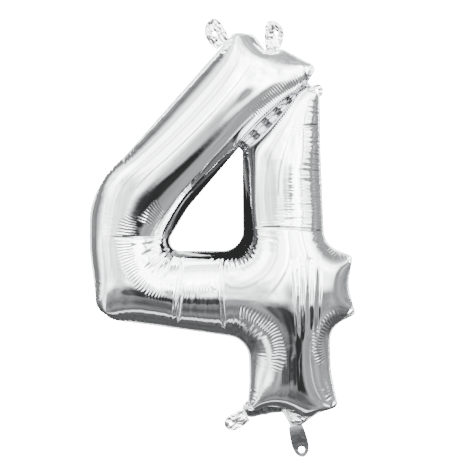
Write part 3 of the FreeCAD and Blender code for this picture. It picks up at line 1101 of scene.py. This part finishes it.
@dataclass
class Web:
    """The welded strip between the diagonal and the stem, crumpled by both."""

    name: str
    start: tuple[float, float]
    end: tuple[float, float]
    width: float = 4.6
    along: int = 180
    across: int = 10
    pocket: float = 15.0
    steep: float = 0.45
    depth: float = 4.2
    crumple: float = 0.5
    ply: float = 0.12
    stray: float = 4.0
    crown: float = 1.5
    fold_scale: tuple[float, float] = (0.08, 0.1)
    crease_scale: tuple[float, float] = (0.3, 0.5)

    def build(self) -> bpy.types.Object:
        """Makes the strip's mesh.

        Returns:
            The strip.
        """
        first = np.array(self.start)
        last = np.array(self.end)
        run = last - first
        length = float(np.linalg.norm(run))
        ahead = run / length
        side = np.array([-ahead[1], ahead[0]])
        bpy.ops.mesh.primitive_grid_add(x_subdivisions=self.along, y_subdivisions=self.across, size=2.0)
        piece = bpy.context.active_object
        piece.name = self.name
        for vertex in piece.data.vertices:
            distance = (vertex.co.x + 1) / 2 * length
            offset = vertex.co.y * self.width / 2
            spot = first + ahead * distance + side * offset
            free = 1 - abs(vertex.co.y) ** self.crown
            fold = ripple(distance, offset, self.fold_scale, 1.0)
            crease = abs(ripple(distance, offset, self.crease_scale, 5.0))
            phase = ((distance + self.stray * fold) / self.pocket) % 1.0
            rise = phase / self.steep if phase < self.steep else (1 - phase) / (1 - self.steep)
            lift = free * (self.depth * (rise - 0.5) + self.crumple * (fold + crease))
            vertex.co = Vector((spot[0], -lift, spot[1])) * MM
        thicken(piece, self.ply)
        bpy.ops.object.shade_smooth()
        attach(piece, BALLOON)
        # The web's foil is darkened with painted shade for the valley it sits in.
        Finish.GATHERED.applied(piece)
        return piece


@dataclass
class Flap:
    """A tab or the tail: a tongue of two plies that hangs on its crease."""

    node: str
    root_width: float
    belly_width: float
    belly_at: float
    length: float
    lean: float
    mount: str
    crumple: float
    finish: Finish
    seed: float
    ply: float = 0.25
    columns: int = 36
    rows: int = 54
    tip: float = 0.55
    root_depth: float = 6.0
    inset: float = 0.6
    bow: float = 0.0
    joint: dict = field(init=False)

    TIP_POWER = 2.6
    LEAST_WIDTH = 0.04
    RIM_REACH = 1.35
    FOLD_SCALE = (0.14, 0.1)
    CREASE_SCALE = (0.27, 0.19)
    FINE_SCALE = (0.9, 0.7)
    FOLD, CREASE, FINE, SINK = 1.4, 1.6, 0.1, 0.4

    def __post_init__(self) -> None:
        """Finds the crease in the frame."""
        self.joint = next(joint for joint in frame["joints"] if joint["child"] == self.node)

    def _frame(self) -> tuple[np.ndarray, np.ndarray, np.ndarray]:
        """The crease's middle, and the directions along the tongue and across it.

        Returns:
            The middle in millimetres and the two directions, each of length 1.
        """
        middle = np.array(self.joint["pos_m"]) / MM
        axis = np.array(self.joint["axis"])
        ahead = np.cross(axis, np.array([0.0, 1.0, 0.0]))
        low, high = (np.array(corner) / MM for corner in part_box(self.node))
        if (0.5 * (low + high) - middle) @ ahead < 0:
            ahead = -ahead
        return middle, ahead / np.linalg.norm(ahead), axis

    def _half_width(self, share: float) -> float:
        """Half the tongue's width at a share of its length.

        Args:
            share: From 0 at the root to 1 at the tip.

        Returns:
            The half width.
        """
        if share < self.belly_at:
            swell = math.sin(0.5 * math.pi * share / self.belly_at)
            width = self.root_width + (self.belly_width - self.root_width) * swell
        else:
            past = (share - self.belly_at) / (1 - self.belly_at)
            width = self.belly_width * max(0.0, 1 - past**self.TIP_POWER) ** self.tip
        return max(width, self.LEAST_WIDTH) / 2

    def build(self) -> bpy.types.Object:
        """Makes the tongue's mesh, punched and crumpled.

        Returns:
            The tongue.
        """
        middle, ahead, across = self._frame()
        bpy.ops.mesh.primitive_grid_add(x_subdivisions=self.columns, y_subdivisions=self.rows, size=2.0)
        piece = bpy.context.active_object
        piece.name = f"{self.node}_foil"
        shape = bmesh.new()
        shape.from_mesh(piece.data)
        mount = next(mount for mount in frame["record"]["mounts"] if mount["name"] == self.mount)
        radius = mount["dims"]["r_mm"]
        place = np.array(mount["pos_m"]) / MM - middle
        reach = float(place @ ahead)
        hole = np.array([float(place @ across) - self.lean * reach * reach / self.length, reach])
        for vertex in shape.verts:
            share = (vertex.co.y + 1) / 2
            distance = share * (self.length + self.inset) - self.inset
            vertex.co = Vector((vertex.co.x * self._half_width(share), distance, 0.0))
        pierced = [
            face
            for face in shape.faces
            if (face.calc_center_median().xy - Vector(hole)).length < radius
        ]
        bmesh.ops.delete(shape, geom=pierced, context="FACES")
        for vertex in shape.verts:
            from_hole = vertex.co.xy - Vector(hole)
            near = from_hole.length
            if near < self.RIM_REACH * radius and vertex.is_boundary:
                vertex.co.xy = Vector(hole) + from_hole * (radius / near)
        for vertex in shape.verts:
            offset, distance = vertex.co.x, vertex.co.y
            share = max(0.0, distance / self.length)
            grown = min(1.0, max(0.0, distance) / self.root_depth)
            fold = ripple(offset, distance, self.FOLD_SCALE, self.seed)
            crease = abs(ripple(offset, distance, self.CREASE_SCALE, self.seed + 7))
            fine = ripple(offset, distance, self.FINE_SCALE, self.seed + 13)
            lift = self.FOLD * fold + self.CREASE * crease - self.SINK + self.FINE * fine
            lift *= grown * self.crumple
            lift -= self.bow * (1 - math.cos(math.pi * share)) / 2
            sway = self.lean * share * share * self.length
            spot = middle + ahead * distance + across * (offset + sway)
            vertex.co = Vector((spot[0], -lift, spot[2])) * MM
        shape.to_mesh(piece.data)
        shape.free()
        thicken(piece, self.ply)
        bpy.ops.object.shade_smooth()
        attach(piece, self.node)
        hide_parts(self.node)
        self.finish.applied(piece)
        return piece


@dataclass
class Valve:
    """The valve's two films, which keep their own shape."""

    nodes: tuple[str, ...] = ("valve_front_film", "valve_back_film")

    def dress(self) -> None:
        """Gives the films their finish."""
        for node in self.nodes:
            Finish.VALVE.applied(frame["nodes"][node])


# ---- Studio ----
@dataclass(frozen=True)
class Patch:
    """A soft ellipse of the surround, placed by the tilt of film that mirrors it to the front.

    Across and up run from -1 to 1 over the front of a mirror ball, whose middle mirrors what
    stands before the balloon and whose rim mirrors what stands behind it.
    """

    name: str
    across: float
    up: float
    half_width: float
    half_height: float
    turn: float
    soft: float
    level: float


def glowing(name: str, strength: float) -> bpy.types.Material:
    """A white material that gives off light.

    Args:
        name: The material's name.
        strength: How bright it is.

    Returns:
        The material.
    """
    material, shading = new_material(name)
    shading.surface("ShaderNodeEmission", Color=(1.0, 1.0, 1.0, 1.0), Strength=strength)
    return material


@dataclass(frozen=True)
class Card:
    """An upright three-cornered flag in the window that only reflections see."""

    name: str
    corners: tuple[tuple[float, float], ...]
    depth: float
    level: float

    def build(self) -> bpy.types.Object:
        """Makes the card.

        Returns:
            The card.
        """
        bpy.ops.mesh.primitive_circle_add(vertices=len(self.corners), fill_type="NGON")
        card = bpy.context.active_object
        card.name = self.name
        for vertex, corner in zip(card.data.vertices, self.corners):
            vertex.co = Vector((corner[0], self.depth, corner[1])) * MM
        card.data.materials.append(glowing(self.name, self.level))
        card.visible_camera = False
        card.visible_diffuse = False
        card.visible_shadow = False
        return card


PATCHES = (
    Patch("ceiling", 0.22, 0.28, 0.36, 0.2, 0.0, 0.8, 12.0),
    Patch("upper_grey", 0.32, 0.62, 0.34, 0.13, -20.0, 0.6, 1.2),
    Patch("left_box", -0.42, 0.36, 0.07, 0.4, -38.0, 0.5, 8.0),
    Patch("streak_one", -0.3, 0.22, 0.025, 0.34, -38.0, 0.6, 1.9),
    Patch("streak_two", -0.08, 0.1, 0.02, 0.3, -38.0, 0.6, 2.0),
    Patch("middle_grey", 0.1, -0.02, 0.12, 0.07, -42.0, 0.8, 1.3),
    Patch("stem_grey", -0.28, 0.0, 0.1, 0.16, 0.0, 0.7, 2.1),
    Patch("stem_white", 0.3, 0.04, 0.11, 0.14, 0.0, 0.5, 13.0),
    Patch("streak_three", 0.47, 0.1, 0.02, 0.3, 12.0, 0.6, 2.0),
    Patch("low_grey", -0.1, -0.45, 0.5, 0.25, 0.0, 0.5, 0.34),
    Patch("ground", 0.0, -0.9, 0.7, 0.32, 0.0, 0.3, 0.14),
    Patch("ground_left", -0.78, -0.52, 0.12, 0.5, 35.0, 0.4, 0.12),
    Patch("low_strip", -0.6, -0.25, 0.045, 0.32, 12.0, 0.5, 3.2),
    Patch("low_light", 0.56, -0.42, 0.05, 0.12, 0.0, 0.5, 3.2),
    Patch("stand", 0.1, -0.42, 0.2, 0.12, 0.0, 0.6, 0.14),
    Patch("wide_flag", -0.02, -0.2, 0.14, 0.07, 0.0, 0.35, 0.07),
    Patch("flag", 0.19, -0.23, 0.13, 0.075, -20.0, 0.35, 0.035),
    Patch("low_line", -0.15, -0.66, 0.5, 0.03, 0.0, 0.5, 2.0),
    Patch("small_flag", -0.16, -0.22, 0.09, 0.045, 0.0, 0.4, 0.12),
    Patch("upper_streak", 0.22, 0.0, 0.12, 0.06, -42.0, 0.5, 0.6),
    Patch("right_edge", 0.745, 0.06, 0.05, 0.34, 0.0, 0.5, 0.42),
)

WINDOW_FLAGS = (
    Card("window_flag", ((-48.0, -198.0), (25.0, -198.0), (25.0, -112.0)), 19.0, 0.03),
    Card("near_flag", ((-38.0, -198.2), (25.2, -198.2), (25.2, -142.0)), -6.0, 0.03),
)


@dataclass
class Studio:
    """White surround, pale floor, soft light and the camera."""

    white: float = 24.0
    above: float = 4.2
    below: float = 0.52
    behind: float = 1.2
    rim_left: float = 0.34
    rim_right: float = 0.48
    rim_low: float = 0.12
    rim_high: float = 3.0
    rim_reach: tuple[float, float] = (0.68, 0.86)
    behind_reach: tuple[float, float] = (0.985, 0.995)
    sides: tuple[float, float] = (-0.3, 0.3)
    lows: tuple[float, float] = (0.0, 0.45)
    highs: tuple[float, float] = (0.7, 0.95)
    tint: tuple[float, ...] = (0.975, 0.988, 1.0, 1.0)
    grain: float = 7.0
    uneven: float = 2.4
    slope: float = -0.15
    horizon: tuple[float, float] = (-0.12, -0.02)
    patches: tuple[Patch, ...] = PATCHES
    window_flags: tuple[Card, ...] = WINDOW_FLAGS
    floor_drop: float = 0.05
    key_place: tuple[float, float, float] = (-0.4, -1.6, 1.2)
    key_tilt: tuple[float, float, float] = (58.0, 0.0, -14.0)
    key_size: float = 1.6
    key_energy: float = 14.0
    lens: float = 200.0
    sensor: float = 36.0
    aim: tuple[float, float] = (0.0188, -0.1839)
    span: float = 0.42958

    def build(self) -> None:
        """Sets up the whole studio."""
        self._world()
        self._floor()
        self._lights()
        for flag in self.window_flags:
            flag.build()
        self._camera()

    def _world(self) -> None:
        """A white surround for the camera and a patterned one for everything else."""
        world = bpy.data.worlds.new("studio")
        bpy.context.scene.world = world
        world.use_nodes = True
        shading = Shading(world.node_tree)
        direction = shading.node("ShaderNodeTexCoord").outputs["Generated"]
        half = shading.node("ShaderNodeVectorMath", {"operation": "SUBTRACT"})
        world.node_tree.links.new(direction, half.inputs[0])
        half.inputs[1].default_value = (0.0, 1.0, 0.0)
        facing = shading.node("ShaderNodeVectorMath", {"operation": "NORMALIZE"})
        world.node_tree.links.new(half.outputs[0], facing.inputs[0])
        split = shading.node("ShaderNodeSeparateXYZ", Vector=facing.outputs[0])
        across = shading.value(split, "X")
        up = shading.value(split, "Z")
        reach = (across * across + up * up).root()
        level = (up * 0.0 + self.below).towards(self.above, (up + across * self.slope).step(*self.horizon))
        for patch in self.patches:
            turn = math.radians(patch.turn)
            x = across - patch.across
            z = up - patch.up
            along = (x * math.cos(turn) + z * math.sin(turn)) * (1 / patch.half_width)
            over = (z * math.cos(turn) - x * math.sin(turn)) * (1 / patch.half_height)
            distance = (along * along + over * over).root()
            level = level.towards(patch.level, 1.0 - distance.step(1 - patch.soft, 1 + patch.soft))
        rim = (up * 0.0 + self.rim_left).towards(self.rim_right, across.step(*self.sides))
        rim = rim.towards(self.rim_low, (0.0 - up).step(*self.lows))
        rim = rim.towards(self.rim_high, up.step(*self.highs))
        level = level.towards(rim, reach.step(*self.rim_reach))
        level = level.towards(self.behind, reach.step(*self.behind_reach))
        cloud = shading.cloud(facing.outputs[0], Scale=self.grain, Detail=5.0, Roughness=0.62)
        level = level * (cloud * self.uneven + (1.0 - 0.5 * self.uneven))
        surround = shading.node("ShaderNodeBackground", Color=self.tint, Strength=level)
        white = shading.node("ShaderNodeBackground", Color=(1.0, 1.0, 1.0, 1.0), Strength=self.white)
        seen = shading.node("ShaderNodeLightPath").outputs["Is Camera Ray"]
        mixed = shading.node("ShaderNodeMixShader", Fac=seen)
        world.node_tree.links.new(surround.outputs[0], mixed.inputs[1])
        world.node_tree.links.new(white.outputs[0], mixed.inputs[2])
        shading.node("ShaderNodeOutputWorld", Surface=mixed.outputs[0])

    def _floor(self) -> None:
        """A pale floor below the tail, which only the camera sees."""
        bpy.ops.mesh.primitive_plane_add(size=30.0, location=(0, 0, CAD_BOX[0][2] - self.floor_drop))
        floor = bpy.context.active_object
        floor.name = "floor"
        floor.data.materials.append(glowing("pale_floor", self.white))
        floor.visible_glossy = False
        floor.visible_diffuse = False
        floor.visible_shadow = False

    def _lights(self) -> None:
        """One large soft light above the front."""
        tilt = [math.radians(angle) for angle in self.key_tilt]
        bpy.ops.object.light_add(type="AREA", location=self.key_place, rotation=tilt)
        key = bpy.context.active_object
        key.data.size = self.key_size
        key.data.energy = self.key_energy

    def _camera(self) -> None:
        """A long lens straight in front."""
        distance = self.span * self.lens / self.sensor
        bpy.ops.object.camera_add(
            location=(self.aim[0], -distance, self.aim[1]), rotation=(math.radians(90), 0, 0)
        )
        camera = bpy.context.active_object
        camera.data.lens = self.lens
        camera.data.sensor_width = self.sensor
        camera.data.clip_start = 0.05
        bpy.context.scene.camera = camera


FLAPS = (
    Flap("left_hang_tab", 15.0, 19.0, 0.5, 24.5, 0.17, "left_hang_hole", 1.6, Finish.CRINKLED, 2.0),
    Flap("right_hang_tab", 10.0, 18.0, 0.62, 28.5, -0.17, "right_hang_hole", 1.6, Finish.CRINKLED, 11.0),
    Flap("notch_tab", 9.0, 12.0, 0.5, 11.0, 0.0, "notch_hole", 0.7, Finish.CRINKLED, 23.0),
    Flap("lower_left_tab", 12.0, 15.0, 0.5, 22.0, 0.0, "lower_left_hole", 1.4, Finish.CRINKLED, 31.0),
    Flap("filling_tail", 12.5, 15.4, 0.5, 29.5, 0.0, "tie_hole", 0.15, Finish.TAIL, 43.0, bow=4.5),
)


def main() -> None:
    """Builds every piece in order."""
    logging.basicConfig(level=logging.INFO)
    inflation = Inflation(SEAM)
    Panel("front_foil", "front_foil_panel", Side.FRONT, inflation).build()
    Panel("back_foil", "back_foil_panel", Side.BACK, inflation).build()
    Weld("weld_rim", SEAM).build()
    by_name = {corner.name: corner.blown for corner in SEAM}
    start = (by_name["apex_upper"].point() + by_name["apex_lower"].point()) / 2
    end = (by_name["web_top_upper"].point() + by_name["web_top_lower"].point()) / 2
    Web("web_strip", tuple(start), tuple(end)).build()
    for flap in FLAPS:
        piece = flap.build()
        LOG.info("made %s", piece.name)
    Valve().dress()
    Studio().build()


if __name__ == "__main__":
    main()
